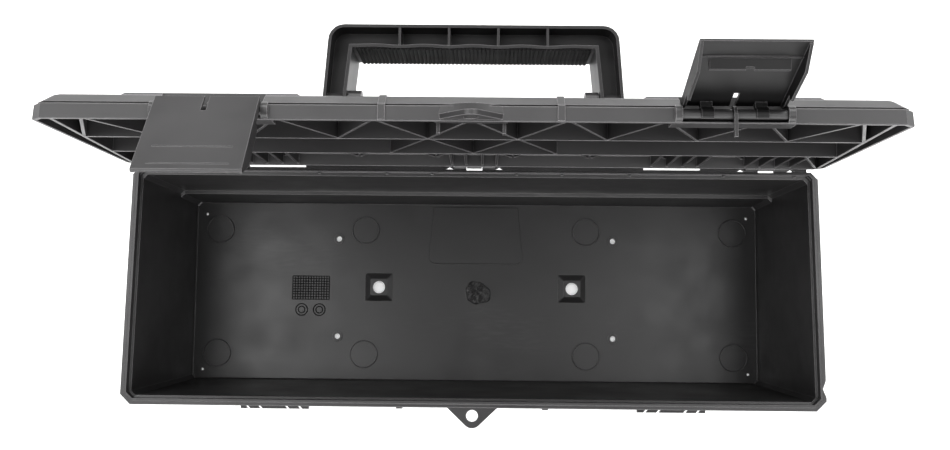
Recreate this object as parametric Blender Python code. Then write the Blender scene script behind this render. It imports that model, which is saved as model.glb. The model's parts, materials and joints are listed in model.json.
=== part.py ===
"""A moulded plastic toolbox with its lid open, as separate pieces with their joints' axes.

Units are metres and +Z is up. The origin is the middle of the underside, +X runs along the box
and -Y is its front. The lid and all that it carries are drawn as they lie with the lid closed,
and the lid then turns open about the hinge. "Front" values are distances forward of the origin.
"""

import math

import bmesh
import bpy
from mathutils import Matrix, Vector

MM = 0.001
GAP = 0.3 * MM  # between pieces that touch on the real thing
SINK = 0.4 * MM  # how far a joined feature reaches into its wall

# Box: outer rim, walls and floor
RIM_HALF = 243.0 * MM  # mean of its front and back
RIM_TAPER = 1.5 * MM  # the rim is this much longer at each end along its front, shorter at its back
RIM_FRONT = 83.0 * MM
RIM_BACK = 83.2 * MM
RIM_TOP = 145.0 * MM
RIM_STEP = 144.5 * MM  # outer band of the rim, a little lower than the inner one
LIP_BOTTOM = 136.4 * MM
FLANGE_UNDER = 142.4 * MM
FLOOR = 2.5 * MM
WALL = 2.4 * MM
BASE_HALF = 236.1 * MM
BASE_FRONT = 74.4 * MM
BASE_BACK = 77.2 * MM
BACK_STEP = 47.0 * MM  # height of the step in the back wall
BACK_UPPER = 81.0 * MM  # outer face of the back wall above its step

# Floor marks
FLOOR_DISC = 11.3 * MM
FLOOR_DISC_X = (92.0 * MM, 213.6 * MM)
FLOOR_DISC_Y = (-50.9 * MM, 52.0 * MM)
DRAIN_X = 80.1 * MM
DRAIN_Y = 4.6 * MM
DRAIN_HOLE = 5.15 * MM
DRAIN_TOP = 5.2 * MM
BOSS_X = 114.1 * MM
BOSS_Y = (-36.3 * MM, 44.5 * MM)
PLAQUE_HALF = 37.0 * MM
VENT_X = 225.4 * MM
VENT_Y = (-64.5 * MM, 64.5 * MM)

# Hinge
HINGE_Y = 85.3 * MM
HINGE_Z = 145.8 * MM
HINGE_STATIONS = {"left": -205.0 * MM, "centre": 0.0, "right": 205.0 * MM}
PIN_RADIUS = 0.6 * MM
BARREL_RADIUS = 1.6 * MM
KNUCKLE_HALF = 5.2 * MM
LUG_INNER = 5.6 * MM
LUG_OUTER = 14.3 * MM
STRIP_BACK = 87.6 * MM
STRIP_TOP = 144.3 * MM
STRIP_BOTTOM = 141.6 * MM
SLOT_X = (119.0 * MM, 159.0 * MM)  # ends of the long slots in the strip
STOP_X = (62.0 * MM, 176.0 * MM)  # pads that the open lid rests on

# Lid, closed
LID_HALF = 243.5 * MM
LID_FRONT = 83.2 * MM
LID_BACK = 84.5 * MM
LID_BOTTOM = 145.3 * MM
LID_TOP = 15.8 * MM  # rises above the lid's bottom edge
LID_CEILING = 13.7 * MM
LID_OPEN = math.radians(90)
RIB_PITCH = 53.8 * MM
RIB_ROW_2 = -24.0 * MM
RIB_ROW_3 = 30.0 * MM
RIB = 1.5 * MM
RIB_LOW = 0.2 * MM  # the ribs stop this far above the lid's edge
END_RIB_X = (231.5 * MM, 239.5 * MM)  # at the lid's front and back
CORNER_RIB_X = 213.8 * MM
HINGE_RIB_X = (124.0 * MM, 134.8 * MM, 145.6 * MM, 156.4 * MM)
PANEL_X = (96.0 * MM, 195.8 * MM)
PANEL_Y = (-72.2 * MM, 62.0 * MM)
PANEL_RISE = 1.5 * MM

# Padlock tabs
TAB_HALF = 18.3 * MM
TAB_HOLE_FRONT = 88.4 * MM
TAB_HOLE = 4.1 * MM
TAB_TIP_RADIUS = 6.7 * MM
TAB_TIP_FRONT = 90.2 * MM
LID_TAB_RISE = 1.2 * MM  # underside of the lid's tab above the lid's edge
LID_TAB = 3.0 * MM
PRONG = 5.4 * MM  # length of a prong below the lid's edge
PRONG_INSET = 6.6 * MM
LATCH_PRONG = 7.6 * MM
SCOOP_HALF = 18.5 * MM
SCOOP_DEPTH = 4.0 * MM

# Latches
LATCH_X = 143.8 * MM
LATCH_HALF = 28.5 * MM
ROD_Y = -80.3 * MM
ROD_Z = LID_BOTTOM + 5.2 * MM
ROD_RADIUS = 3.2 * MM
EAR_INNER = LATCH_HALF + GAP
EAR_OUTER = 32.6 * MM
EAR_RADIUS = 5.3 * MM
POCKET_RADIUS = 9.9 * MM
PLATE_OUT = 9.2 * MM  # latch face, out from the rod's axis
PLATE = 1.9 * MM
PLATE_ABOVE = 2.4 * MM  # latch above the rod, closed
PLATE_BELOW = 57.6 * MM
CHEEK = 1.8 * MM
CHEEK_OUT = 3.5 * MM  # edge of a cheek, out from the rod's axis, clear of the rim
HOOK_X = (11.6 * MM, 18.4 * MM)  # sides of a hook, from the latch's middle
HOOK_RADIUS = 4.3 * MM
LEDGE_BELOW = 38.8 * MM
LEDGE_HALF = 21.0 * MM
LEDGE_DEPTH = 5.0 * MM
LEFT_OPEN = math.radians(39.0)
RIGHT_OPEN = math.radians(111.0)
CATCH_X = 142.4 * MM
CATCH_HALF = 24.5 * MM
CATCH_FRONT = 87.2 * MM
CATCH_Z = (112.2 * MM, 114.8 * MM)

# Handle, standing square to the lid
HANDLE_Y = -8.6 * MM  # axis that it folds about
HANDLE_Z = LID_BOTTOM + 26.0 * MM
HANDLE_NEAR = 8.0 * MM  # open face, forward of the axis
HANDLE_DEPTH = 39.0 * MM
HANDLE_TOP = LID_BOTTOM + 73.0 * MM
HANDLE_BASE_HALF = 92.9 * MM
HANDLE_TOP_HALF = 89.5 * MM
HANDLE_CORNER = 10.0 * MM
LEG_WIDTH = 13.9 * MM
LEG_WIDENING = 2.4 * MM  # of a leg, from the lid's top to the grip
BAR_HEIGHT = 14.4 * MM
WAVE_HEIGHT = 0.4 * MM  # of the gentle waves under the grip, to either side
WAVE_STEPS = 12  # on each side of the middle
HANDLE_WALL = 1.9 * MM
HANDLE_WEB = 16.5 * MM  # middle of the web between its two channels, behind the near face
HANDLE_FOOT = 9.8 * MM  # from the axis to the flat foot, near the lid's top
DIVIDER_PITCH = 30.3 * MM
DIVIDER_X = [DIVIDER_PITCH * step for step in (-1.5, -0.5, 0.5, 1.5)]
BOSS_OUTER = 76.8 * MM
BOSS_WIDTH = 8.0 * MM
BOSS_RADIUS = 7.0 * MM
HANDLE_PIN = 2.5 * MM

COLOURS = {
    "charcoal": ((0.042, 0.042, 0.044, 1), 0.42, 0.0),
    "charcoal_lid": ((0.048, 0.048, 0.050, 1), 0.45, 0.0),
    "charcoal_handle": ((0.034, 0.034, 0.036, 1), 0.40, 0.0),
    "charcoal_latch": ((0.050, 0.050, 0.052, 1), 0.42, 0.0),
    "steel": ((0.55, 0.55, 0.56, 1), 0.30, 1.0),
}


# Mesh helpers


def new_object(name, bm):
    """An object with this bmesh's faces turned outward."""
    bmesh.ops.recalc_face_normals(bm, faces=bm.faces)
    mesh = bpy.data.meshes.new(name)
    bm.to_mesh(mesh)
    bm.free()
    obj = bpy.data.objects.new(name, mesh)
    bpy.context.scene.collection.objects.link(obj)
    return obj


def loft(name, rings):
    """A closed solid through rings of equally many points, with its two end rings capped."""
    bm = bmesh.new()
    loops = [[bm.verts.new(point) for point in ring] for ring in rings]
    count = len(rings[0])
    for one, two in zip(loops, loops[1:]):
        for i in range(count):
            j = (i + 1) % count
            bm.faces.new((one[i], one[j], two[j], two[i]))
    bm.faces.new(loops[0])
    bm.faces.new(loops[-1])
    return new_object(name, bm)


def prism(axis, outline, low, high, name="piece"):
    """A solid with this outline, in the other two axes in order, from low to high along axis."""
    place = {
        "X": lambda a, b, t: (t, a, b),
        "Y": lambda a, b, t: (a, t, b),
        "Z": lambda a, b, t: (a, b, t),
    }[axis]
    return loft(name, [[place(a, b, t) for a, b in outline] for t in (low, high)])


def block(x, y, z, name="piece"):
    """A box between the two values given for each axis."""
    outline = [(x[0], y[0]), (x[1], y[0]), (x[1], y[1]), (x[0], y[1])]
    return prism("Z", outline, z[0], z[1], name)


def arc(centre, radius, start, end, steps):
    """Points of an arc, in degrees, both ends included."""
    turns = [math.radians(start + (end - start) * i / steps) for i in range(steps + 1)]
    return [(centre[0] + radius * math.cos(t), centre[1] + radius * math.sin(t)) for t in turns]


def circle(centre, radius, steps):
    return arc(centre, radius, 0, 360 * (steps - 1) / steps, steps - 1)


def cut_rectangle(half, front, back, front_cut, back_cut, z, taper=0.0):
    """A rectangle in plan with its corners cut off, at height z, its front longer by the taper."""
    front_half, back_half = half + taper, half - taper
    corners = [
        (-front_half + front_cut, -front),
        (front_half - front_cut, -front),
        (front_half, -front + front_cut),
        (back_half, back - back_cut),
        (back_half - back_cut, back),
        (-back_half + back_cut, back),
        (-back_half, back - back_cut),
        (-front_half, -front + front_cut),
    ]
    return [(x, y, z) for x, y in corners]


def combine(body, pieces, operation):
    """Joins the pieces to the body, or cuts them from it, and removes them."""
    for piece in pieces:
        step = body.modifiers.new("step", "BOOLEAN")
        step.operation = operation
        step.solver = "EXACT"
        step.object = piece
    graph = bpy.context.evaluated_depsgraph_get()
    shape = bpy.data.meshes.new_from_object(body.evaluated_get(graph))
    body.modifiers.clear()
    before = body.data
    body.data = shape
    shape.name = body.name
    bpy.data.meshes.remove(before)
    for piece in pieces:
        bpy.data.objects.remove(piece)
    return body


def join(body, *pieces):
    return combine(body, pieces, "UNION")


def cut(body, *pieces):
    return combine(body, pieces, "DIFFERENCE")


def both_sides(make, *values):
    """The same feature made for each value and for its mirror image."""
    return [make(side * value) for value in values for side in (-1, 1)]


def set_origin(obj, point):
    """Moves the object's origin to the point, leaving its shape where it is."""
    obj.data.transform(Matrix.Translation(-Vector(point)))
    obj.location = point


def carry(piece, parent, pivot, parent_pivot, turn=0.0):
    """Hangs the piece on its parent at the pivot, turned about X by this angle."""
    set_origin(piece, pivot)
    piece.parent = parent
    piece.location = Vector(pivot) - Vector(parent_pivot)
    piece.rotation_euler.x = turn


def paint(obj, colour):
    """A material of the object's own, and smooth shading but for its sharp edges."""
    base, roughness, metallic = COLOURS[colour]
    material = bpy.data.materials.new(obj.name)
    material.use_nodes = True
    shader = material.node_tree.nodes["Principled BSDF"]
    shader.inputs["Base Color"].default_value = base
    shader.inputs["Roughness"].default_value = roughness
    shader.inputs["Metallic"].default_value = metallic
    obj.data.materials.clear()
    obj.data.materials.append(material)
    obj.data.shade_smooth()
    obj.data.set_sharp_from_angle(angle=math.radians(25))


# Box


def wall_ring(z, inset, lower_back, cut_corner):
    """A ring of the sloping walls at height z, this far in from their outer face."""
    slope = z / FLANGE_UNDER
    half = BASE_HALF + 3.3 * MM * slope - inset
    front = BASE_FRONT + 5.0 * MM * slope - inset
    if lower_back:
        back = BASE_BACK + 3.0 * MM * slope - inset
    else:
        back = BACK_UPPER - inset
    return cut_rectangle(half, front, back, cut_corner, cut_corner, z, RIM_TAPER * slope)


def rim_ring(z, inset, cut_front=7.0 * MM, cut_back=5.0 * MM):
    """A ring of the rim at height z, this far in from its outer edge and half as far at the back."""
    less = inset * 0.6
    return cut_rectangle(
        RIM_HALF - inset,
        RIM_FRONT - inset,
        RIM_BACK - inset * 0.5,
        cut_front - less,
        cut_back - less,
        z,
        RIM_TAPER,
    )


def box_shell():
    """The tub: up its outside, over the rim and down its inside to the floor."""
    corner = 4.0 * MM
    chamfer = 1.2 * MM
    rings = [
        wall_ring(0.0, chamfer, True, corner),
        wall_ring(chamfer, 0.0, True, corner),
        wall_ring(BACK_STEP, 0.0, True, corner),
        wall_ring(BACK_STEP + 1.5 * MM, 0.0, False, corner),
        wall_ring(FLANGE_UNDER, 0.0, False, corner),
        rim_ring(FLANGE_UNDER, 1.6 * MM),
        rim_ring(LIP_BOTTOM, 1.5 * MM),
        rim_ring(LIP_BOTTOM, 0.0),
        rim_ring(RIM_STEP - 0.4 * MM, 0.0),
        rim_ring(RIM_STEP, 0.4 * MM),
        rim_ring(RIM_STEP, 2.4 * MM),
        rim_ring(RIM_TOP, 2.8 * MM),
        rim_ring(RIM_TOP, 4.3 * MM),
        rim_ring(RIM_TOP - 5.6 * MM, 4.5 * MM),
        wall_ring(RIM_TOP - 6.0 * MM, WALL, False, 3.0 * MM),
        wall_ring(BACK_STEP + 3.2 * MM, WALL, False, 3.0 * MM),
        wall_ring(BACK_STEP + 2.4 * MM, WALL, True, 3.0 * MM),
        wall_ring(FLOOR + 0.9 * MM, WALL, True, 3.0 * MM),
        wall_ring(FLOOR, WALL + 0.9 * MM, True, 3.0 * MM),
    ]
    return loft("box", rings)


def floor_marks(box):
    """Raised discs, the two drain cones, screw bosses and the moulding marks of the floor."""
    low = FLOOR - SINK
    raised = [
        prism("Z", circle((side * x, y), FLOOR_DISC, 28), low, FLOOR + 0.6 * MM)
        for x in FLOOR_DISC_X
        for y in FLOOR_DISC_Y
        for side in (-1, 1)
    ]
    raised += [
        prism("Z", circle((side * BOSS_X, y), 4.2 * MM, 16), low, FLOOR + 1.0 * MM)
        for y in BOSS_Y
        for side in (-1, 1)
    ]
    raised += both_sides(drain_cone, DRAIN_X)
    raised.append(prism("Z", circle((1.2 * MM, 1.0 * MM), 9.6 * MM, 24), low, FLOOR + 0.3 * MM))
    plate = [(-PLAQUE_HALF + 2.5 * MM, 70 * MM)]
    plate += arc((-PLAQUE_HALF + 4.5 * MM, 28.5 * MM), 4.5 * MM, 180, 270, 4)
    plate += arc((PLAQUE_HALF - 4.5 * MM, 28.5 * MM), 4.5 * MM, 270, 360, 4)
    plate.append((PLAQUE_HALF - 2.5 * MM, 70 * MM))
    raised.append(prism("Z", plate, low, FLOOR + 0.35 * MM))
    join(box, *raised)
    under = [
        prism("Z", circle((side * x, y), 10 * MM, 24), -MM, 0.6 * MM)
        for x in FLOOR_DISC_X
        for y in FLOOR_DISC_Y
        for side in (-1, 1)
    ]
    cut(box, *under, *floor_holes())


def drain_cone(x):
    """A low pyramid round a drain hole."""
    rings = []
    for half, z in ((11.3 * MM, FLOOR - SINK), (11.3 * MM, FLOOR + 0.3 * MM), (6.8 * MM, DRAIN_TOP)):
        rings.append(cut_rectangle(half, half - DRAIN_Y, half + DRAIN_Y, 0.8 * MM, 0.8 * MM, z))
    cone = loft("piece", rings)
    cone.data.transform(Matrix.Translation((x, 0, 0)))
    return cone


def floor_holes():
    low, high = -MM, 10 * MM
    holes = both_sides(
        lambda x: prism("Z", circle((x, DRAIN_Y), DRAIN_HOLE, 24), low, high), DRAIN_X
    )
    for y in BOSS_Y:
        holes += both_sides(lambda x: prism("Z", circle((x, y), 2.3 * MM, 12), low, high), BOSS_X)
    for y in VENT_Y:
        holes += both_sides(lambda x: prism("Z", circle((x, y), 1.2 * MM, 8), low, high), VENT_X)
    return holes


def tab_outline(root):
    """A padlock tab in plan, from this far forward, with a round tip."""
    tip = arc((0, -TAB_TIP_FRONT), TAB_TIP_RADIUS, 311, 229, 8)
    return [(-TAB_HALF, -root), (TAB_HALF, -root)] + tip


def front_details(box):
    """The padlock tab, the two location ribs, and the catches that the latches hook under."""
    tab = prism("Z", tab_outline(RIM_FRONT - MM), RIM_STEP - 3.2 * MM, RIM_STEP - 0.1 * MM)
    ribs = both_sides(
        lambda x: block(
            (x - 2.1 * MM, x + 2.1 * MM),
            (-RIM_FRONT - 1.0 * MM, -RIM_FRONT + SINK),
            (LIP_BOTTOM + 0.6 * MM, RIM_STEP - 0.6 * MM),
        ),
        50.5 * MM,
    )
    join(box, tab, *ribs, *both_sides(catch, CATCH_X), *both_sides(catch_brace, CATCH_X))
    holes = [prism("Z", circle((0, -TAB_HOLE_FRONT), TAB_HOLE, 28), 0.12, 0.16)]
    for side in (-1, 1):
        holes += catch_slits(side)
    edge = RIM_HALF + RIM_TAPER
    notch = [
        (edge + MM, -75.2 * MM),
        (edge + MM, -59.8 * MM),
        (edge - 0.5 * MM, -62.0 * MM),
        (edge - 2.6 * MM, -67.5 * MM),
        (edge - 0.3 * MM, -73.0 * MM),
    ]
    holes.append(prism("Z", notch, 0.12, 0.16))
    cut(box, *holes)


def catch(x):
    """The shelf of a catch."""
    return block((x - CATCH_HALF, x + CATCH_HALF), (-CATCH_FRONT, -76.5 * MM), CATCH_Z)


def catch_brace(x):
    """An upright plate behind the shelf's front edge, which ties it to the lip above."""
    return block(
        (x - CATCH_HALF + 0.4 * MM, x + CATCH_HALF - 0.4 * MM),
        (-81.6 * MM, -80.0 * MM),
        (CATCH_Z[1] - SINK, LIP_BOTTOM + 3.0 * MM),
    )


def catch_slits(side):
    """Four slanting slits in a catch's shelf, open at its front edge."""
    slits = []
    for near, far in ((-23.6, -19.2), (-14.9, -10.2), (4.3, 9.2), (13.8, 18.4)):
        a, b = near * MM, far * MM
        outline = [
            (a, -82.2 * MM),
            (a + 2.0 * MM, -82.2 * MM),
            (b + 2.0 * MM, -CATCH_FRONT - 0.5 * MM),
            (b, -CATCH_FRONT - 0.5 * MM),
        ]
        outline = [(side * (CATCH_X - u), v) for u, v in outline]
        slits.append(prism("Z", outline, CATCH_Z[0] - MM, CATCH_Z[1] + MM))
    return slits


def hinge_strip(box):
    """The strip behind the rim, cut out for the lid's knuckles, with lugs and lid stops on it."""
    half = RIM_HALF - 9.5 * MM
    strip = block((-half, half), (RIM_BACK - MM, STRIP_BACK), (STRIP_BOTTOM, STRIP_TOP))
    gussets = both_sides(strip_gusset, *STOP_X, 110.0 * MM, 226.0 * MM, 30.0 * MM)
    join(box, strip, *gussets)
    open_from = RIM_BACK + 0.1 * MM
    slot_from = RIM_BACK + 0.8 * MM
    gone = both_sides(
        lambda x: block(
            (x - (SLOT_X[1] - SLOT_X[0]) / 2, x + (SLOT_X[1] - SLOT_X[0]) / 2),
            (slot_from, STRIP_BACK + MM),
            (STRIP_BOTTOM - MM, STRIP_TOP + MM),
        ),
        sum(SLOT_X) / 2,
    )
    for x in HINGE_STATIONS.values():
        knuckle_room = (x - LUG_INNER, x + LUG_INNER)
        gone.append(
            block(knuckle_room, (RIM_BACK - 0.6 * MM, STRIP_BACK + MM), (LIP_BOTTOM - MM, RIM_TOP + MM))
        )
        for side in (-1, 1):
            low = LUG_OUTER + 0.2 * MM
            wedge = [(low, open_from), (low + 5.6 * MM, open_from), (low + 3.0 * MM, 85.0 * MM)]
            outline = [(x + side * u, v) for u, v in wedge]
            gone.append(prism("Z", outline, STRIP_BOTTOM - MM, STRIP_TOP + MM))
    cut(box, *gone)
    lugs = []
    for x in HINGE_STATIONS.values():
        for side in (-1, 1):
            ends = sorted((x + side * LUG_INNER, x + side * LUG_OUTER))
            lugs.append(barrel(BARREL_RADIUS, *ends))
            root = [(HINGE_Y - 1.4 * MM, STRIP_BOTTOM + 0.3 * MM), (HINGE_Y + 1.4 * MM, STRIP_BOTTOM)]
            root += [(HINGE_Y + 1.4 * MM, HINGE_Z), (HINGE_Y - 1.4 * MM, HINGE_Z)]
            lugs.append(prism("X", root, ends[0] + 0.1 * MM, ends[1] - 0.1 * MM))
    stops = both_sides(lid_stop, *STOP_X)
    join(box, *lugs, *stops)
    cut(box, *[barrel(PIN_RADIUS + GAP, x - 20 * MM, x + 20 * MM) for x in HINGE_STATIONS.values()])


def barrel(radius, low, high):
    """A cylinder on the hinge's axis."""
    steps = 16 if radius > MM else 12
    return prism("X", circle((HINGE_Y, HINGE_Z), radius, steps), low, high)


def strip_gusset(x):
    """A small web under the strip."""
    root = BACK_UPPER - MM
    outline = [(root, 126 * MM), (STRIP_BACK - MM, STRIP_BOTTOM + SINK)]
    outline += [(root, STRIP_BOTTOM + SINK)]
    return prism("X", outline, x - 0.9 * MM, x + 0.9 * MM)


def lid_stop(x):
    """A pad behind the strip that the open lid rests on."""
    outline = [
        (STRIP_BACK - 1.3 * MM, STRIP_TOP - 2.0 * MM),
        (STRIP_BACK + 4.0 * MM, STRIP_TOP - 0.6 * MM),
        (STRIP_BACK + 4.0 * MM, HINGE_Z + 0.5 * MM),
        (STRIP_BACK - 1.3 * MM, HINGE_Z + 0.5 * MM),
    ]
    return prism("X", outline, x - 3.5 * MM, x + 3.5 * MM)


def make_box():
    box = box_shell()
    floor_marks(box)
    front_details(box)
    hinge_strip(box)
    return box


# Lid, closed


def lid_ring(inset, rise):
    trim = min(inset * 0.55, 4.0 * MM)
    return cut_rectangle(
        LID_HALF - inset,
        LID_FRONT - inset,
        LID_BACK - inset,
        6.4 * MM - trim,
        6.4 * MM - trim,
        LID_BOTTOM + rise,
    )


def lid_shell():
    """The cover: from its ceiling down the inside, round the bottom edge and up the outside."""
    steps = [
        (11.0, 13.7),
        (9.4, 13.2),
        (5.9, 10.6),
        (3.2, 8.0),
        (2.1, 0.0),
        (0.3, 0.0),
        (0.0, 0.4),
        (0.6, 8.5),
        (1.1, 8.9),
        (3.0, 9.3),
        (2.1, 9.9),
        (8.8, 14.9),
        (10.8, 15.8),
    ]
    return loft("lid", [lid_ring(inset * MM, rise * MM) for inset, rise in steps])


def lid_core():
    """The space that the ribs may fill: up to the middle of the cover's wall."""
    steps = [(1.2, 0.1), (1.5, 7.6), (2.6, 8.6), (4.4, 10.3), (7.4, 12.8), (10.2, 14.4)]
    return loft("core", [lid_ring(inset * MM, rise * MM) for inset, rise in steps])


def upright(start, end, low, thickness=RIB):
    """An upright plate between two points in plan, from low above the lid's edge to its ceiling."""
    a, b = Vector(start), Vector(end)
    side = (b - a).normalized().orthogonal() * (thickness / 2)
    outline = [tuple(point) for point in (a + side, a - side, b - side, b + side)]
    return prism("Z", outline, LID_BOTTOM + low, LID_BOTTOM + LID_TOP)


def end_rib_x(y):
    """How far out the slanting end ribs stand at this depth."""
    share = (y + LID_FRONT) / (LID_BACK + LID_FRONT)
    return END_RIB_X[0] + (END_RIB_X[1] - END_RIB_X[0]) * share


def long_ribs():
    """The two ribs along the lid, with the slanting ones at its ends."""
    ribs = [upright((-end_rib_x(y), y), (end_rib_x(y), y), RIB_LOW) for y in (RIB_ROW_2, RIB_ROW_3)]
    for side in (-1, 1):
        front = (side * END_RIB_X[0], -LID_FRONT)
        back = (side * END_RIB_X[1], LID_BACK)
        inner = (side * end_rib_x(RIB_ROW_2), RIB_ROW_2)
        ribs.append(upright(front, back, RIB_LOW + 0.1 * MM, 2.0 * MM))
        ribs.append(upright((side * CORNER_RIB_X, -LID_FRONT), inner, RIB_LOW + 0.2 * MM, 1.8 * MM))
        ribs.append(upright((side * 4 * RIB_PITCH, RIB_ROW_3), back, RIB_LOW + 0.2 * MM))
    return ribs


def zigzag(rows, low, count):
    """Ribs that run to and fro between two rows, from the middle out to both ends."""
    near, far = rows
    ribs = []
    for side in (-1, 1):
        for i in range(count):
            a, b, c = (side * RIB_PITCH * (i + share) for share in (0.0, 0.5, 1.0))
            ribs.append(upright((a, near), (b, far), low))
            ribs.append(upright((b, far), (c, near), low + 0.1 * MM))
    return ribs


def gussets():
    """Short ribs inside the skirt: behind the padlock tab, behind each latch, and by the hinge."""
    prong_back = -LID_FRONT + PRONG_INSET + 6.4 * MM
    found = both_sides(
        lambda x: upright((x, -LID_FRONT), (x, prong_back), 0.5 * MM, 1.8 * MM), TAB_HALF
    )
    found += both_sides(
        lambda x: upright((x, ROD_Y + POCKET_RADIUS), (x, -58 * MM), 4.0 * MM, 1.9 * MM), LATCH_X
    )
    places = [side * x for x in HINGE_RIB_X for side in (-1, 1)]
    for station in HINGE_STATIONS.values():
        places += [station + side * x * MM for x in (5.7, 15.6) for side in (-1, 1)]
    found += [upright((x, LID_BACK), (x, RIB_ROW_3), 1.2 * MM) for x in places]
    return found


def lid_ribs():
    """All the ribs under the lid as one solid, which follows the cover's slopes."""
    ribs = long_ribs()
    ribs += zigzag((-LID_FRONT, RIB_ROW_2), RIB_LOW + 0.3 * MM, 4)
    ribs += zigzag((RIB_ROW_3, RIB_ROW_2), RIB_LOW + 0.5 * MM, 1)
    ribs += zigzag((RIB_ROW_3, LID_BACK), 6.5 * MM, 4)
    ribs += gussets()
    return combine(join(*ribs), [lid_core()], "INTERSECT")


def padlock_tab():
    """The lid's padlock tab, low on the front skirt."""
    low = LID_BOTTOM + LID_TAB_RISE
    return prism("Z", tab_outline(LID_FRONT - MM), low, low + LID_TAB)


def prong(x):
    """A prong that hangs inside the box's front wall and centres the closed lid."""
    near = -LID_FRONT + PRONG_INSET
    return block(
        (x - 0.9 * MM, x + 0.9 * MM), (near, near + 6.2 * MM), (LID_BOTTOM - PRONG, LID_BOTTOM + 6 * MM)
    )


def scoop_backing():
    """The thicker wall behind the scoop."""
    profile = [(0.8, 0.2), (6.4, 0.2), (6.4, 11.4), (4.8, 11.2), (3.6, 9.6), (1.4, 7.8)]
    outline = [(-LID_FRONT + back * MM, LID_BOTTOM + rise * MM) for back, rise in profile]
    return prism("X", outline, -SCOOP_HALF - 1.5 * MM, SCOOP_HALF + 1.5 * MM)


def scoop():
    """The room for a padlock's shackle that is scooped out of the skirt above the tab."""
    radius = (SCOOP_HALF**2 + SCOOP_DEPTH**2) / (2 * SCOOP_DEPTH)
    reach = math.degrees(math.asin(SCOOP_HALF / radius))
    centre = (0, -LID_FRONT + SCOOP_DEPTH - radius)
    outline = arc(centre, radius, 90 + reach, 90 - reach, 12)
    outline += [(SCOOP_HALF, -LID_FRONT - 3 * MM), (-SCOOP_HALF, -LID_FRONT - 3 * MM)]
    low = LID_BOTTOM + LID_TAB_RISE + LID_TAB
    return prism("Z", outline, low, low + 20 * MM)


def skirt_ribs():
    """The two location ribs, which run up the front skirt and over its edge."""
    profile = [
        (-1.0, 0.6),
        (-0.4, 9.2),
        (1.6, 10.4),
        (8.4, 15.8),
        (11.6, 16.8),
        (12.2, 15.0),
        (1.4, 7.0),
        (0.8, 0.6),
    ]
    outline = [(-LID_FRONT + back * MM, LID_BOTTOM + rise * MM) for back, rise in profile]
    return both_sides(lambda x: prism("X", outline, x - 2.0 * MM, x + 2.0 * MM), 49.3 * MM)


def top_panel(side):
    """A raised panel of the lid's top, with sloping edges."""
    rings = []
    for inset, rise in ((0.0, -SINK), (0.0, 0.3 * MM), (1.6 * MM, PANEL_RISE)):
        x = sorted((side * (PANEL_X[0] + inset), side * (PANEL_X[1] - inset)))
        y = (PANEL_Y[0] + inset, PANEL_Y[1] - inset)
        z = LID_BOTTOM + LID_TOP + rise
        rings.append([(x[0], y[0], z), (x[1], y[0], z), (x[1], y[1], z), (x[0], y[1], z)])
    return loft("piece", rings)


def latch_seat(lid, x):
    """The pocket that a latch turns in, its ears and rod holes, and the rib that hangs before the rim."""
    back = ROD_Y + POCKET_RADIUS
    inner_wall = back + 1.7 * MM
    outline = [
        (-LID_FRONT + 0.9 * MM, LID_BOTTOM + 0.15 * MM),
        (inner_wall, LID_BOTTOM + 0.15 * MM),
        (inner_wall, LID_BOTTOM + LID_CEILING + 0.8 * MM),
        (-LID_FRONT + 9.6 * MM, LID_BOTTOM + LID_CEILING + 0.4 * MM),
        (-LID_FRONT + 2.4 * MM, LID_BOTTOM + 8.4 * MM),
        (-LID_FRONT + 1.2 * MM, LID_BOTTOM + 8.0 * MM),
    ]
    join(lid, prism("X", outline, x - EAR_OUTER - 1.4 * MM, x + EAR_OUTER + 1.4 * MM))
    floor = LID_BOTTOM + 0.7 * MM
    pocket = [
        (-LID_FRONT - 20 * MM, floor),
        (back - 2 * MM, floor),
        (back, floor + 2 * MM),
        (back, LID_BOTTOM + 30 * MM),
        (-LID_FRONT - 20 * MM, LID_BOTTOM + 30 * MM),
    ]
    cut(lid, prism("X", pocket, x - EAR_INNER, x + EAR_INNER))
    ears = []
    for side in (-1, 1):
        ends = sorted((x + side * EAR_INNER, x + side * EAR_OUTER))
        ears.append(prism("X", circle((ROD_Y, ROD_Z), EAR_RADIUS, 24), *ends))
    rib = circle((ROD_Y, ROD_Z), EAR_RADIUS - 0.3 * MM, 20)
    ears.append(prism("X", rib, x - 0.9 * MM, x + 0.9 * MM))
    web = [(ROD_Y, floor - SINK), (back + MM, floor - SINK)]
    web += [(back + MM, LID_BOTTOM + 9.0 * MM), (ROD_Y, LID_BOTTOM + 9.0 * MM)]
    ears.append(prism("X", web, x - 0.8 * MM, x + 0.8 * MM))
    hanging = (-LID_FRONT - 2.4 * MM, -LID_FRONT - 0.3 * MM)
    ears.append(block((x - MM, x + MM), hanging, (LID_BOTTOM - LATCH_PRONG, ROD_Z)))
    join(lid, *ears)
    hole = circle((ROD_Y, ROD_Z), ROD_RADIUS + GAP, 20)
    cut(lid, prism("X", hole, x - EAR_OUTER + 1.2 * MM, x + EAR_OUTER - 1.2 * MM))


def handle_bosses(lid):
    """The two posts on the lid's top that hold the handle's pins."""

    def boss(x):
        ends = sorted((x, x - math.copysign(BOSS_WIDTH, x)))
        top = arc((HANDLE_Y, HANDLE_Z), BOSS_RADIUS, 0, 180, 10)
        foot = LID_BOTTOM + LID_TOP - SINK
        outline = top + [(HANDLE_Y - 9.5 * MM, foot), (HANDLE_Y + 9.5 * MM, foot)]
        return prism("X", outline, *ends)

    join(lid, *both_sides(boss, BOSS_OUTER))
    bore = circle((HANDLE_Y, HANDLE_Z), HANDLE_PIN + GAP, 16)
    for side in (-1, 1):
        ends = (side * (BOSS_OUTER + MM), side * (BOSS_OUTER - BOSS_WIDTH + 1.5 * MM))
        cut(lid, prism("X", bore, *sorted(ends)))


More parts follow.
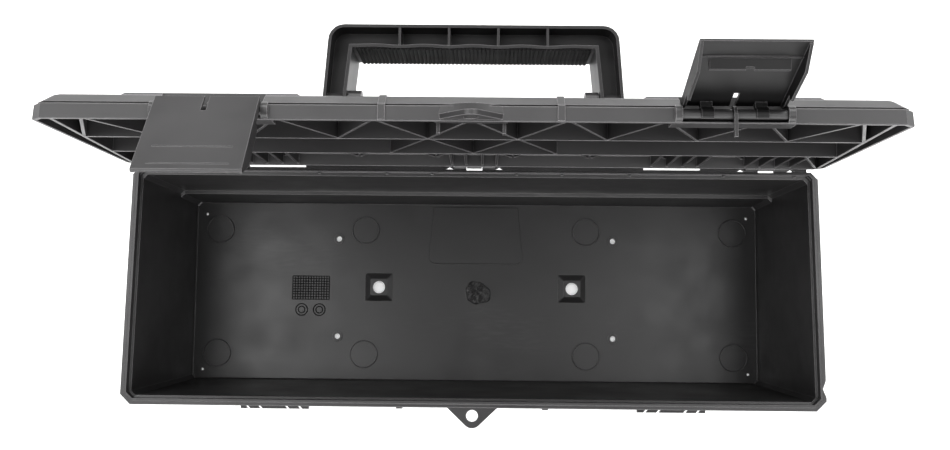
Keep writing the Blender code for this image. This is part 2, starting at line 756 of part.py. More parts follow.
def lid_hinge(lid):
    """Notches for the box's lugs, and a knuckle between each pair of lugs."""
    notches = []
    knuckles = []
    for x in HINGE_STATIONS.values():
        for side in (-1, 1):
            ends = sorted((x + side * (LUG_INNER - 0.1 * MM), x + side * (LUG_OUTER + 0.4 * MM)))
            notches.append(barrel(BARREL_RADIUS + 0.5 * MM, *ends))
        knuckles.append(barrel(BARREL_RADIUS, x - KNUCKLE_HALF, x + KNUCKLE_HALF))
    join(lid, *knuckles)
    cut(lid, *notches)
    cut(lid, *[barrel(PIN_RADIUS + GAP, x - 20 * MM, x + 20 * MM) for x in HINGE_STATIONS.values()])


def make_lid():
    lid = lid_shell()
    join(lid, top_panel(-1), top_panel(1), *skirt_ribs(), scoop_backing())
    join(lid, lid_ribs())
    cut(lid, scoop())
    join(lid, padlock_tab(), *both_sides(prong, TAB_HALF))
    tab_hole = prism(
        "Z", circle((0, -TAB_HOLE_FRONT), TAB_HOLE, 28), LID_BOTTOM - MM, LID_BOTTOM + 4.5 * MM
    )
    cut(lid, tab_hole)
    for side in (-1, 1):
        latch_seat(lid, side * LATCH_X)
    lid_hinge(lid)
    handle_bosses(lid)
    return lid


# Latches, closed


def cheek(x, low, high):
    """A side wall of a latch. Closed, it passes the rim's lip and then comes near the box's wall."""
    end = PLATE_BELOW - 0.6 * MM
    outline = [
        (PLATE_OUT - 0.6 * MM, -PLATE_ABOVE + 0.6 * MM),
        (5.2 * MM, -PLATE_ABOVE + 1.2 * MM),
        (CHEEK_OUT, 3.6 * MM),
        (CHEEK_OUT, 14.7 * MM),
        (-0.7 * MM, 15.3 * MM),
        (-1.5 * MM, 43.0 * MM),
        (6.4 * MM, end),
        (PLATE_OUT - 0.6 * MM, end),
    ]
    outline = [(ROD_Y - out, ROD_Z - fall) for out, fall in outline]
    return prism("X", outline, x + low, x + high)


def latch_hook(x, side):
    """A C-shaped hook round the rod, with its neck to the latch's plate."""
    ends = sorted(x + side * reach for reach in HOOK_X)
    outer = arc((ROD_Y, ROD_Z), HOOK_RADIUS, 90, 330, 14)
    inner = arc((ROD_Y, ROD_Z), ROD_RADIUS + GAP, 330, 90, 14)
    plate_side = ROD_Y - PLATE_OUT + PLATE - SINK
    rod_side = ROD_Y - ROD_RADIUS - GAP - SINK
    neck = [
        (plate_side, ROD_Z + 2.2 * MM),
        (plate_side, ROD_Z - 2.2 * MM),
        (rod_side, ROD_Z - 1.5 * MM),
        (rod_side, ROD_Z + 1.5 * MM),
    ]
    hook = prism("X", outer + inner, *ends)
    return [hook, prism("X", neck, ends[0] + 0.1 * MM, ends[1] - 0.1 * MM)]


def make_latch(name, x):
    """The plate with its cheeks and end lip, two hooks round the rod, and the ledge that holds."""
    front = ROD_Y - PLATE_OUT
    top, bottom = ROD_Z + PLATE_ABOVE, ROD_Z - PLATE_BELOW
    plate_outline = [
        (front + PLATE, top),
        (front + 0.8 * MM, top),
        (front, top - 0.8 * MM),
        (front, bottom + 0.8 * MM),
        (front + 0.8 * MM, bottom),
        (front + PLATE, bottom),
    ]
    latch = prism("X", plate_outline, x - LATCH_HALF, x + LATCH_HALF, name)
    ledge_z = ROD_Z - LEDGE_BELOW
    ledge_tip = front + PLATE + LEDGE_DEPTH
    ledge = [
        (front + PLATE - SINK, ledge_z),
        (ledge_tip, ledge_z),
        (ledge_tip, ledge_z - 1.2 * MM),
        (front + PLATE - SINK, ledge_z - 4.4 * MM),
    ]
    pieces = [
        cheek(x, -LATCH_HALF + 0.1 * MM, -LATCH_HALF + CHEEK),
        cheek(x, LATCH_HALF - CHEEK, LATCH_HALF - 0.1 * MM),
        prism("X", ledge, x - LEDGE_HALF, x + LEDGE_HALF),
        block(
            (x - LATCH_HALF + 1.0 * MM, x + LATCH_HALF - 1.0 * MM),
            (front + PLATE - SINK, front + PLATE + 0.7 * MM),
            (bottom + 12.5 * MM, bottom + 13.7 * MM),
        ),
    ]
    for side in (-1, 1):
        pieces += latch_hook(x, side)
    join(latch, *pieces)
    slot = block((x - 1.5 * MM, x + 1.5 * MM), (front - MM, ROD_Y), (top - 13 * MM, top + MM))
    notch = block(
        (x - 2.2 * MM, x + 2.2 * MM),
        (ledge_tip - 1.2 * MM, ledge_tip + MM),
        (ledge_z - 5 * MM, ledge_z + MM),
    )
    grooves = [
        block(
            (x - LEDGE_HALF, x + LEDGE_HALF),
            (front - MM, front + 0.4 * MM),
            (bottom + fall * MM, bottom + (fall + 0.8) * MM),
        )
        for fall in (4.4, 17.6)
    ]
    return cut(latch, slot, notch, *grooves)


def make_rod(name, x):
    half = EAR_OUTER - 1.5 * MM
    return prism("X", circle((ROD_Y, ROD_Z), ROD_RADIUS, 20), x - half, x + half, name)


def make_hinge_pin(name, x):
    half = LUG_OUTER + 0.4 * MM
    return prism("X", circle((HINGE_Y, HINGE_Z), PIN_RADIUS, 12), x - half, x + half, name)


# Handle, standing


def leg_edge(z, outer):
    """Half the handle's width at height z, outside or inside the leg."""
    base = LID_BOTTOM + LID_TOP
    share = (z - base) / (HANDLE_TOP - base)
    half = HANDLE_BASE_HALF + (HANDLE_TOP_HALF - HANDLE_BASE_HALF) * share
    return half if outer else half - LEG_WIDTH - LEG_WIDENING * share


def handle_outline(inset):
    """Half of the U in XZ, from the outer foot round to the inner foot, drawn in by inset."""
    foot = HANDLE_Z - HANDLE_FOOT
    inner_top = HANDLE_TOP - BAR_HEIGHT
    corner = HANDLE_CORNER - inset
    top_half = leg_edge(HANDLE_TOP, True) - inset
    outer = [(leg_edge(foot, True) - inset, foot + inset)]
    outer += arc((top_half - corner, HANDLE_TOP - inset - corner), corner, 0, 90, 5)
    inner = [
        (leg_edge(inner_top, False) + inset, inner_top + inset),
        (leg_edge(foot, False) + inset, foot + inset),
    ]
    return outer, inner


def grip_waves(height):
    """Points along the grip's lower face, which dips a little at each divider."""
    points = []
    for i in range(-WAVE_STEPS, WAVE_STEPS + 1):
        x = i * 2 * DIVIDER_PITCH / WAVE_STEPS
        turn = 2 * math.pi * (x / DIVIDER_PITCH - 0.5)
        points.append((x, height - WAVE_HEIGHT * math.cos(turn)))
    return points


def u_shape(inset, y_low, y_high, name="piece"):
    """The whole U as a solid between two depths."""
    outer, inner = handle_outline(inset)
    left = [(-x, z) for x, z in reversed(outer)]
    inside = [(-x, z) for x, z in reversed(inner)] + grip_waves(inner[0][1]) + inner
    return prism("Y", outer + left + inside, y_low, y_high, name)


def make_handle():
    """A U of H section, its near channel open toward the lid's front, with dividers and round feet."""
    near = HANDLE_Y - HANDLE_NEAR
    far = near + HANDLE_DEPTH
    handle = u_shape(0.0, near, far, "handle")
    web = (near + HANDLE_WEB - 1.2 * MM, near + HANDLE_WEB + 1.2 * MM)
    cut(handle, u_shape(HANDLE_WALL, near - MM, web[0]), u_shape(HANDLE_WALL, web[1], far + MM))
    bar = (HANDLE_TOP - BAR_HEIGHT + MM, HANDLE_TOP - MM)
    dividers = [
        block((x - 0.7 * MM, x + 0.7 * MM), (near + 0.2 * MM, far - 0.2 * MM), bar)
        for x in DIVIDER_X
    ]
    axis = (HANDLE_Y, HANDLE_Z)
    foot = HANDLE_Z - HANDLE_FOOT
    corner = [(near - 2 * MM, foot - MM), (HANDLE_Y, foot - MM)]
    corner += arc(axis, HANDLE_FOOT, 270, 180, 6)
    hub = circle(axis, 5.4 * MM, 20)
    bore = circle(axis, HANDLE_PIN + GAP, 16)

    def across(outline, low, high):
        """This outline through both legs, between two distances from the middle."""
        return both_sides(lambda side: prism("X", outline, *sorted((side * low, side * high))), 1)

    join(handle, *dividers, *across(hub, 80.6 * MM, 91.0 * MM))
    cut(handle, *across(corner, 70 * MM, 100 * MM))
    return cut(handle, *across(bore, 70 * MM, 89 * MM))


def make_handle_pin(name, side):
    """A pin between a post on the lid and a leg of the handle."""
    ends = sorted((side * (BOSS_OUTER - BOSS_WIDTH + 1.8 * MM), side * 88.6 * MM))
    return prism("X", circle((HANDLE_Y, HANDLE_Z), HANDLE_PIN, 16), *ends, name)


def build():
    for obj in list(bpy.data.objects):
        bpy.data.objects.remove(obj)
    hinge = (0, HINGE_Y, HINGE_Z)
    box = make_box()
    paint(box, "charcoal")
    for side, x in HINGE_STATIONS.items():
        paint(make_hinge_pin("hinge_pin_" + side, x), "steel")
    lid = make_lid()
    paint(lid, "charcoal_lid")
    set_origin(lid, hinge)
    lid.rotation_euler.x = -LID_OPEN
    for side, x, turn in (("left", -LATCH_X, LEFT_OPEN), ("right", LATCH_X, RIGHT_OPEN)):
        rod = make_rod("latch_rod_" + side, x)
        paint(rod, "charcoal_lid")
        carry(rod, lid, (x, ROD_Y, ROD_Z), hinge)
        latch = make_latch("latch_" + side, x)
        paint(latch, "charcoal_latch")
        carry(latch, lid, (x, ROD_Y, ROD_Z), hinge, -turn)
    handle = make_handle()
    paint(handle, "charcoal_handle")
    carry(handle, lid, (0, HANDLE_Y, HANDLE_Z), hinge)
    for name, side in (("left", -1), ("right", 1)):
        pin = make_handle_pin("handle_pin_" + name, side)
        paint(pin, "charcoal_handle")
        carry(pin, lid, (side * 80 * MM, HANDLE_Y, HANDLE_Z), hinge)


build()
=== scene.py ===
"""Looks for the open toolbox: moulded plastic, fine moulded details, floor, light and camera."""

import json
import math

import bmesh
import bpy
from mathutils import Matrix, Vector


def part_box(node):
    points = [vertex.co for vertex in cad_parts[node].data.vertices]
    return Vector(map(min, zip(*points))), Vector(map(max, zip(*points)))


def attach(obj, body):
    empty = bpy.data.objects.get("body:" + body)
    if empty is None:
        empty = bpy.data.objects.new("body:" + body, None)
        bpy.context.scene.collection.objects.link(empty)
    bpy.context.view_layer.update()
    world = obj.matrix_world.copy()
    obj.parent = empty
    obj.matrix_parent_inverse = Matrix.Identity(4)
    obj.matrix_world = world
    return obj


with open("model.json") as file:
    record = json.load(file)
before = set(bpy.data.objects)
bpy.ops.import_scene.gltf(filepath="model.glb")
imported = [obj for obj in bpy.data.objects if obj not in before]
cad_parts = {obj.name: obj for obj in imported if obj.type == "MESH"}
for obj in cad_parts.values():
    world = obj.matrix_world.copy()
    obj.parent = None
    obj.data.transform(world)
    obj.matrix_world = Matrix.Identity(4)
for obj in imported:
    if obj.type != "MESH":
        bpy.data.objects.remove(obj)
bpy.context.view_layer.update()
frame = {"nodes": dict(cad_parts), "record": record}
MM = 0.001

# Camera, nearly overhead
CAMERA_PLACE = (0.0089, -0.0252, 0.8823)
CAMERA_LENS = 40.02  # mm, on a sensor 36 mm wide
CAMERA_PITCH = 0.0935  # radians, as are the next two
CAMERA_YAW = -0.0109
CAMERA_ROLL = 0.0091

# Ridges under the handle's grip
GRIP_DEEP = 14.4 * MM  # the grip's bar, from its outer to its inner face
GRIP_HALF = 72.5 * MM
RIDGE_PITCH = 2.5 * MM
RIDGE_HEIGHT = 0.9 * MM
RIDGE_FULLNESS = 0.7  # the power a sine is raised to, where less makes a fuller ridge
RIDGE_STEPS = 6
RIDGE_PROUD = 0.3 * MM  # the ridges' feet, out from the grip's face
RIDGE_ROOT = 1.2 * MM  # how deep the piece reaches into the grip
RIDGE_SHORT = (0.4 * MM, 0.3 * MM)  # short of the grip's lower and upper edge

# Floor of the box
FLOOR = 2.5 * MM
SUNK = 0.1 * MM  # how far the floor's detail pieces reach into it
FLOOR_DISC = 11.3 * MM
FLOOR_DISC_X = (92.0 * MM, 213.6 * MM)
FLOOR_DISC_Y = (-50.9 * MM, 52.0 * MM)
RIM_INSIDE = 0.7 * MM  # a disc's rim, in and out from the disc's edge
RIM_OUTSIDE = 0.2 * MM
RIM_HEIGHT = 1.5 * MM

# Mark of the mould's gate
GATE = (1.2 * MM, 1.0 * MM)
GATE_RADIUS = 9.6 * MM
GATE_RINGS = 12
GATE_STEPS = 64
GATE_TAIL = 0.32  # length of the tail that is torn out on one side, as a share of the radius
GATE_TAIL_TURN = 0.45
GATE_TAIL_SHARPNESS = 6
TEAR_ACROSS, TEAR_ALONG, TEAR_SLANT = 1900, 1500, 900  # radians a metre, of the torn face's waves
TEAR_BEND, TEAR_FINE = 700, 2600
TEAR_MIDDLE = 0.8  # mm above the floor
TEAR_SWING = 0.28

# Plaque by the back wall
PLAQUE_FRONT_HALF = 38.8 * MM
PLAQUE_BACK_HALF = 35.1 * MM
PLAQUE_CORNER = 5.0 * MM
PLAQUE_CORNER_STEPS = 8
PLAQUE_Y = (24.8 * MM, 71.8 * MM)
PLAQUE_RINGS = ((1.0, -0.1 * MM), (1.0, 0.75 * MM), (0.992, 0.9 * MM))  # scale, height on the floor

# Blank grid and dials
GRID = (-152.1 * MM, -121.6 * MM, -6.0 * MM, 13.3 * MM)  # left, right, front and back
GRID_COLUMNS = 14
GRID_ROWS = 9
GRID_RISE = 0.5 * MM
GRID_LINE = 0.75 * MM
GRID_CHAMFER = 0.1 * MM
DIAL_X = (-144.3 * MM, -129.6 * MM)
DIAL_Y = -14.6 * MM
DIAL_RADII = (5.3 * MM, 3.2 * MM)
DIAL_LINE = 0.9 * MM
DIAL_STEPS = 28

# Stage
GROUND_HALF = 4.0
GROUND_Z = (-0.02, -0.0002)
GROUND_GLOW = 0.3  # light of its own, for the white ground
WORLD_LIGHT = 0.18

# Plastic
PAINTED_SHADE_REACH = 3.5 * MM  # how far the painted shade reaches out from corners and creases
GRAIN_DEPTH = 0.12 * MM
SPOTS = 6  # samples of the bevel node and of the ambient occlusion node that paints shade in corners


# Materials


class Nodes:
    """Short calls that add and link nodes in one material."""

    def __init__(self, name):
        self.material = bpy.data.materials.new(name)
        self.material.use_nodes = True
        self.tree = self.material.node_tree
        self.shader = self.tree.nodes["Principled BSDF"]
        coordinates = self.add("ShaderNodeTexCoord")
        self.place = coordinates.outputs["Object"]

    def add(self, kind, **settings):
        node = self.tree.nodes.new(kind)
        for key, value in settings.items():
            setattr(node, key, value)
        return node

    def put(self, socket, value):
        """Links an output to this input, or sets the input's value."""
        if isinstance(value, bpy.types.NodeSocket):
            self.tree.links.new(value, socket)
        else:
            socket.default_value = value

    def feed(self, node, **values):
        """Sets or links inputs by name, with _ for a space in the name."""
        for key, value in values.items():
            self.put(node.inputs[key.replace("_", " ")], value)
        return node

    def stretched(self, scale):
        """The place, scaled along each axis, so that a pattern on it is drawn out where it is small."""
        mapping = self.feed(self.add("ShaderNodeMapping"), Vector=self.place, Scale=scale)
        return mapping.outputs["Vector"]

    def noise(self, scale, detail=3.0, place=None):
        node = self.add("ShaderNodeTexNoise")
        self.feed(node, Vector=place or self.place, Scale=scale, Detail=detail)
        return node.outputs["Fac"]

    def spread(self, value, low, high, to_low=0.0, to_high=1.0):
        """A value mapped from one range to another, and held inside it."""
        node = self.add("ShaderNodeMapRange")
        self.feed(node, Value=value)
        self.feed(node, From_Min=low, From_Max=high, To_Min=to_low, To_Max=to_high)
        return node.outputs["Result"]

    def product(self, one, two):
        node = self.add("ShaderNodeMath", operation="MULTIPLY")
        for socket, value in zip(node.inputs, (one, two)):
            self.put(socket, value)
        return node.outputs["Value"]

    def blend(self, share, one, two):
        """A colour between two, each a socket or a grey triple."""
        node = self.add("ShaderNodeMix", data_type="RGBA")
        factor, first, second = node.inputs[0], node.inputs[6], node.inputs[7]
        for socket, value in ((factor, share), (first, one), (second, two)):
            self.put(socket, (*value, 1) if isinstance(value, tuple) else value)
        return node.outputs[2]

    def rounded(self, radius):
        """The normal with edges rounded by this radius."""
        return self.feed(self.add("ShaderNodeBevel", samples=SPOTS), Radius=radius).outputs["Normal"]

    def edges(self, radius, low, high):
        """1 along sharp edges, falling to 0 within the radius of them."""
        geometry = self.add("ShaderNodeNewGeometry")
        facing = self.add("ShaderNodeVectorMath", operation="DOT_PRODUCT")
        self.put(facing.inputs[0], self.rounded(radius))
        self.put(facing.inputs[1], geometry.outputs["Normal"])
        return self.spread(facing.outputs["Value"], low, high, 1.0, 0.0)


def tone(grey):
    """The charcoal's very faint purple cast, at this brightness."""
    return (grey * 1.01, grey * 0.97, grey * 1.0)


def moulded_plastic(
    name, grey, roughness, edge_highlight_grey, grain, edge_radius=0.5 * MM, scuffs=0.0, gloss=0.5
):
    """Charcoal polypropylene: mottled and finely grained, with painted shade in its corners and creases
    and painted highlights along its edges.
    """
    nodes = Nodes(name)
    clouds = nodes.spread(nodes.noise(14.0, 5.0), 0.3, 0.7)
    body = nodes.blend(clouds, tone(grey * 0.84), tone(grey * 1.18))
    flow = nodes.spread(nodes.noise(60.0, 4.0, nodes.stretched((0.25, 1.0, 1.0))), 0.45, 0.75)
    body = nodes.blend(nodes.product(flow, 0.35), body, tone(grey * 1.4))
    speck = nodes.spread(nodes.noise(1300.0, 2.0), 0.62, 0.78)
    body = nodes.blend(nodes.product(speck, 0.30), body, tone(grey * 2.0))
    if scuffs:
        marks = nodes.spread(nodes.noise(9.0, 8.0, nodes.stretched((0.6, 1.6, 1.0))), 0.56, 0.74)
        fine = nodes.spread(nodes.noise(420.0, 3.0, nodes.stretched((0.2, 1.0, 1.0))), 0.45, 0.7)
        marks = nodes.product(nodes.product(marks, fine), scuffs)
        body = nodes.blend(marks, body, tone(grey * 4.5))
    # Painted highlight: the colour along sharp edges is lightened toward the edge grey, in broken
    # patches, for the light that rounded edges catch
    edge_highlight = nodes.edges(edge_radius, 0.80, 0.985)
    highlight_breakup = nodes.spread(nodes.noise(120.0, 3.0), 0.25, 0.75, 0.65, 1.0)
    body = nodes.blend(nodes.product(edge_highlight, highlight_breakup), body, tone(edge_highlight_grey))
    # Painted shade: an ambient occlusion node darkens the colour toward near-black in corners, creases
    # and recesses
    corners = nodes.feed(nodes.add("ShaderNodeAmbientOcclusion", samples=SPOTS), Distance=PAINTED_SHADE_REACH)
    unshaded_share = nodes.spread(corners.outputs["AO"], 0.25, 0.85, 0.25, 1.0)
    body = nodes.blend(unshaded_share, tone(0.004), body)
    dull = nodes.spread(nodes.noise(32.0, 4.0), 0.3, 0.7, roughness - 0.04, roughness + 0.06)
    bump = nodes.add("ShaderNodeBump")
    nodes.feed(bump, Strength=grain, Distance=GRAIN_DEPTH)
    nodes.feed(bump, Height=nodes.noise(1500.0, 3.0), Normal=nodes.rounded(edge_radius))
    nodes.feed(nodes.shader, Base_Color=body, Roughness=dull, Normal=bump.outputs["Normal"])
    nodes.feed(nodes.shader, Specular_IOR_Level=gloss)
    return nodes.material


def drawn_steel(name):
    """Wire: bright metal with fine lines along its length."""
    nodes = Nodes(name)
    lines = nodes.noise(2500.0, 2.0, nodes.stretched((0.02, 1.0, 1.0)))
    body = nodes.blend(nodes.spread(lines, 0.3, 0.7), tone(0.42), tone(0.62))
    roughness = nodes.spread(lines, 0.3, 0.7, 0.24, 0.38)
    nodes.feed(nodes.shader, Base_Color=body, Roughness=roughness, Metallic=1.0)
    return nodes.material


def pale_ground(name):
    """A pale, smooth, very faintly mottled ground."""
    nodes = Nodes(name)
    clouds = nodes.spread(nodes.noise(3.0, 3.0), 0.3, 0.7)
    body = nodes.blend(clouds, (0.92, 0.92, 0.92), (0.94, 0.94, 0.94))
    nodes.feed(nodes.shader, Base_Color=body, Roughness=0.7)
    nodes.feed(nodes.shader, Emission_Color=(1, 1, 1, 1), Emission_Strength=GROUND_GLOW)
    return nodes.material


# Each plastic's numbers are its grey, roughness, grey of its painted edge highlights and strength of
# grain
LOOKS = {
    "box_plastic": moulded_plastic("box_look", 0.0155, 0.35, 0.20, 0.25, scuffs=0.35),
    "lid_plastic": moulded_plastic("lid_look", 0.0185, 0.42, 0.33, 0.25, 0.55 * MM),
    "handle_plastic": moulded_plastic("handle_look", 0.016, 0.42, 0.16, 0.20, gloss=0.3),
    "latch_plastic": moulded_plastic("latch_look", 0.020, 0.40, 0.26, 0.20),
    "pin_steel": drawn_steel("pin_look"),
}

# Looks of the detail pieces, and of the right latch, which stands open: a darker copy of the latch
# plastic, as painted shade
# The ridges' grey is darker than the handle's own plastic: painted shade for the shadow between the
# fine ridges
RIDGE_LOOK = moulded_plastic("ridge_look", 0.006, 0.60, 0.010, 0.5, gloss=0.08)
TORN_LOOK = moulded_plastic("torn_look", 0.016, 0.40, 0.07, 1.0)
PLAQUE_LOOK = moulded_plastic("plaque_look", 0.013, 0.36, 0.012, 0.4)
GRID_LOOK = moulded_plastic("grid_look", 0.006, 0.60, 0.010, 0.4, gloss=0.2)
SHADED_LATCH_LOOK = moulded_plastic("shaded_latch_look", 0.005, 0.42, 0.22, 0.20, gloss=0.25)


def dress_frame():
    """Gives each CAD node the look of its material slot, and the right latch a darker copy of the latch
    look as painted shade.
    """
    for row in frame["record"]["subparts"]:
        for place in frame["nodes"][row["node"]].material_slots:
            place.material = LOOKS[row["material_slot"]]
    for place in frame["nodes"]["latch_right"].material_slots:
        place.material = SHADED_LATCH_LOOK


# Detail pieces


def add_piece(name, bm, body, slot, look=None, sharp=40):
    """A detail piece from this bmesh, riding on a body, with the look of its slot or one of its own."""
    bmesh.ops.recalc_face_normals(bm, faces=bm.faces)
    mesh = bpy.data.meshes.new(name)
    bm.to_mesh(mesh)
    bm.free()
    obj = bpy.data.objects.new(name, mesh)
    bpy.context.scene.collection.objects.link(obj)
    mesh.materials.append(look or LOOKS[slot])
    mesh.shade_smooth()
    mesh.set_sharp_from_angle(angle=math.radians(sharp))
    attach(obj, body)


def add_strip(bm, one, two):
    """Adds the faces between two loops of equally many corners."""
    count = len(one)
    for i in range(count):
        j = (i + 1) % count
        bm.faces.new((one[i], one[j], two[j], two[i]))


def add_loft(bm, rings):
    """Adds a closed solid through rings of equally many points."""
    loops = [[bm.verts.new(point) for point in ring] for ring in rings]
    for one, two in zip(loops, loops[1:]):
        add_strip(bm, one, two)
    bm.faces.new(loops[0])
    bm.faces.new(loops[-1])


def add_ring(bm, centre, inner, outer, low, high, steps=40):
    """Adds a flat ring with softened upper edges."""
    soft = min(0.3 * (high - low), 0.25 * (outer - inner))
    section = [(inner, low), (inner, high - soft), (inner + soft, high)]
    section += [(outer - soft, high), (outer, high - soft), (outer, low)]
    loops = []
    for i in range(steps):
        turn = 2 * math.pi * i / steps
        across, along = math.cos(turn), math.sin(turn)
        points = [(centre[0] + r * across, centre[1] + r * along, z) for r, z in section]
        loops.append([bm.verts.new(point) for point in points])
    for one, two in zip(loops, loops[1:] + loops[:1]):
        add_strip(bm, one, two)


def grip_ridges():
    """The fine ridges across the inner face of the grip."""
    low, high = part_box("handle")
    face = high.y - GRIP_DEEP
    count = round(2 * GRIP_HALF / RIDGE_PITCH)
    crest = []
    for i in range(count * RIDGE_STEPS + 1):
        x = -GRIP_HALF + i * RIDGE_PITCH / RIDGE_STEPS
        share = (i % RIDGE_STEPS) / RIDGE_STEPS
        rise = RIDGE_HEIGHT * math.sin(math.pi * share) ** RIDGE_FULLNESS
        crest.append((x, face - RIDGE_PROUD - rise))
    outline = crest + [(GRIP_HALF, face + RIDGE_ROOT), (-GRIP_HALF, face + RIDGE_ROOT)]
    ends = (low.z + RIDGE_SHORT[0], high.z - RIDGE_SHORT[1])
    bm = bmesh.new()
    add_loft(bm, [[(x, y, z) for x, y in outline] for z in ends])
    add_piece("grip_ridges", bm, "handle", "handle_plastic", RIDGE_LOOK)


def floor_rims():
    """A fine raised rim round each of the floor's discs."""
    bm = bmesh.new()
    inner, outer = FLOOR_DISC - RIM_INSIDE, FLOOR_DISC + RIM_OUTSIDE
    for x in FLOOR_DISC_X:
        for y in FLOOR_DISC_Y:
            for side in (-1, 1):
                add_ring(bm, (side * x, y), inner, outer, FLOOR, FLOOR + RIM_HEIGHT)
    add_piece("floor_rims", bm, "box", "box_plastic")


def torn_rise(x, y):
    """The torn face's height over the floor, from three waves that cross."""
    wave = math.sin(TEAR_ACROSS * x + 3 * math.sin(TEAR_BEND * y))
    wave += math.sin(TEAR_ALONG * y - TEAR_SLANT * x)
    wave += math.sin(TEAR_FINE * (x + y) + 1)
    return (TEAR_MIDDLE + TEAR_SWING * wave) * MM


def gate_mark():
    """The rough, torn stub that the mould's gate left in the middle of the floor."""
    rings = []
    for ring in range(GATE_RINGS + 1):
        share = 1 - ring / (GATE_RINGS + 0.5)
        points = []
        for i in range(GATE_STEPS):
            turn = 2 * math.pi * i / GATE_STEPS
            tail = GATE_TAIL * max(0.0, math.cos(turn + GATE_TAIL_TURN)) ** GATE_TAIL_SHARPNESS
            ragged = 1 + 0.05 * math.sin(3 * turn + 1) + 0.04 * math.sin(7 * turn) + tail
            radius = GATE_RADIUS * share * ragged
            x, y = radius * math.cos(turn), radius * math.sin(turn)
            rise = torn_rise(x, y) if ring else -2 * SUNK
            points.append((GATE[0] + x, GATE[1] + y, FLOOR + SUNK + rise))
        rings.append(points)
    bm = bmesh.new()
    add_loft(bm, rings)
    add_piece("gate_mark", bm, "box", "box_plastic", TORN_LOOK)


def plaque_skin():
    """The dull surface of the plaque by the back wall, wider toward the front."""
    front, back = PLAQUE_Y
    outline = [(-PLAQUE_BACK_HALF, back)]
    for side, start in ((-1, 180), (1, 270)):
        for i in range(PLAQUE_CORNER_STEPS + 1):
            turn = math.radians(start + 90 * i / PLAQUE_CORNER_STEPS)
            x = side * (PLAQUE_FRONT_HALF - PLAQUE_CORNER) + PLAQUE_CORNER * math.cos(turn)
            outline.append((x, front + PLAQUE_CORNER + PLAQUE_CORNER * math.sin(turn)))
    outline.append((PLAQUE_BACK_HALF, back))
    middle = (front + back) / 2
    rings = []
    for scale, rise in PLAQUE_RINGS:
        rings.append([(x * scale, middle + (y - middle) * scale, FLOOR + rise) for x, y in outline])
    bm = bmesh.new()
    add_loft(bm, rings)
    add_piece("plaque_skin", bm, "box", "box_plastic", PLAQUE_LOOK, 5)


def add_bar(bm, x0, x1, y0, y1):
    """Adds one line of the grid, with its upper edges chamfered."""
    top, inset = FLOOR + GRID_RISE, GRID_CHAMFER
    low = [(x0, y0), (x1, y0), (x1, y1), (x0, y1)]
    high = [(x0 + inset, y0 + inset), (x1 - inset, y0 + inset)]
    high += [(x1 - inset, y1 - inset), (x0 + inset, y1 - inset)]
    levels = ((low, FLOOR - SUNK), (low, top - inset), (high, top))
    add_loft(bm, [[(x, y, z) for x, y in corners] for corners, z in levels])


def date_grid():
    """A blank grid of fine raised lines on the floor, with two plain dials in front of it."""
    bm = bmesh.new()
    left, right, front, back = GRID
    half = GRID_LINE / 2
    for i in range(GRID_COLUMNS + 1):
        x = left + (right - left) * i / GRID_COLUMNS
        add_bar(bm, x - half, x + half, front, back)
    for i in range(GRID_ROWS + 1):
        y = front + (back - front) * i / GRID_ROWS
        add_bar(bm, left, right, y - half, y + half)
    low, top = FLOOR - SUNK, FLOOR + GRID_RISE
    for x in DIAL_X:
        for radius in DIAL_RADII:
            add_ring(bm, (x, DIAL_Y), radius - DIAL_LINE, radius, low, top, DIAL_STEPS)
    add_piece("date_grid", bm, "box", "box_plastic", GRID_LOOK, 5)


# Stage


def make_ground():
    """The wide slab that the box stands on."""
    bm = bmesh.new()
    half = GROUND_HALF
    corners = [(-half, -half), (half, -half), (half, half), (-half, half)]
    add_loft(bm, [[(x, y, z) for x, y in corners] for z in GROUND_Z])
    mesh = bpy.data.meshes.new("floor")
    bm.to_mesh(mesh)
    bm.free()
    floor = bpy.data.objects.new("floor", mesh)
    mesh.materials.append(pale_ground("floor_look"))
    bpy.context.scene.collection.objects.link(floor)


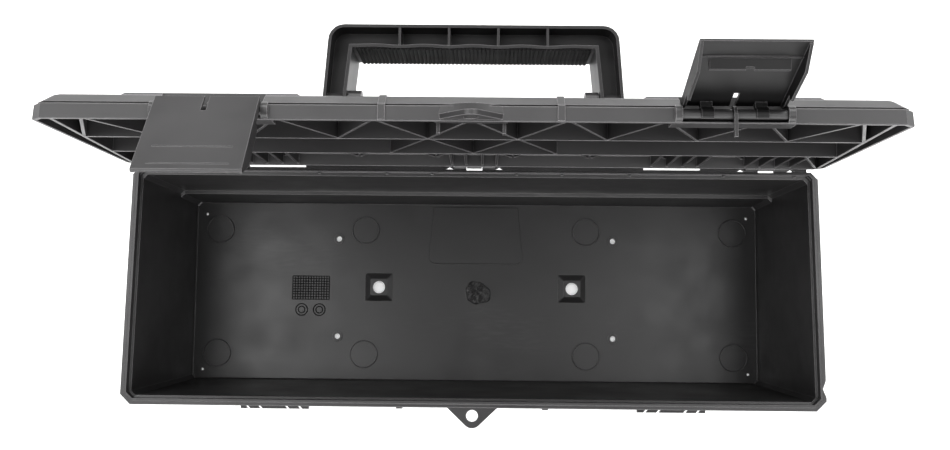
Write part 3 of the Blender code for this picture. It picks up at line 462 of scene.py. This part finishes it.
def soft_light(name, place, target, width, height, power):
    """A rectangular soft light at a place, turned to a target."""
    lamp = bpy.data.lights.new(name, "AREA")
    lamp.shape = "RECTANGLE"
    lamp.size = width
    lamp.size_y = height
    lamp.energy = power
    obj = bpy.data.objects.new(name, lamp)
    obj.location = place
    obj.rotation_euler = (Vector(target) - Vector(place)).to_track_quat("-Z", "Y").to_euler()
    bpy.context.scene.collection.objects.link(obj)


def light_scene():
    """An even studio light: a dim white surround and five soft lights above the box."""
    world = bpy.data.worlds.new("studio")
    world.use_nodes = True
    background = world.node_tree.nodes["Background"]
    background.inputs["Color"].default_value = (1.0, 1.0, 1.0, 1)
    background.inputs["Strength"].default_value = WORLD_LIGHT
    bpy.context.scene.world = world
    soft_light("left", (-0.80, 0.15, 1.50), (-0.1, 0, 0.1), 0.8, 1.1, 13.0)
    soft_light("right", (0.85, 0.15, 1.50), (0.1, 0, 0.1), 0.8, 1.1, 11.0)
    soft_light("rear", (0, 1.20, 1.15), (0, 0.1, 0.25), 2.2, 0.7, 38.0)
    soft_light("front", (0, -1.30, 0.85), (0, 0.05, 0.20), 1.8, 0.5, 18.0)
    soft_light("front_high", (0, -1.00, 1.15), (0, 0.08, 0.05), 1.6, 0.4, 15.0)


def make_camera():
    """Looks down at the open box from just in front of it."""
    ahead = Vector((math.sin(CAMERA_YAW), math.sin(CAMERA_PITCH), -math.cos(CAMERA_PITCH))).normalized()
    level = Vector((1, 0, 0))
    level = (level - ahead * level.dot(ahead)).normalized()
    upright = level.cross(ahead)
    right = level * math.cos(CAMERA_ROLL) + upright * math.sin(CAMERA_ROLL)
    up = upright * math.cos(CAMERA_ROLL) - level * math.sin(CAMERA_ROLL)
    lens = bpy.data.cameras.new("camera")
    lens.sensor_width = 36.0
    lens.lens = CAMERA_LENS
    lens.clip_start = 0.01
    camera = bpy.data.objects.new("camera", lens)
    turn = Matrix((right, up, -ahead)).transposed().to_4x4()
    camera.matrix_world = Matrix.Translation(CAMERA_PLACE) @ turn
    bpy.context.scene.collection.objects.link(camera)
    bpy.context.scene.camera = camera


dress_frame()
grip_ridges()
floor_rims()
gate_mark()
plaque_skin()
date_grid()
make_ground()
light_scene()
make_camera()
bpy.context.scene.view_settings.view_transform = "Standard"
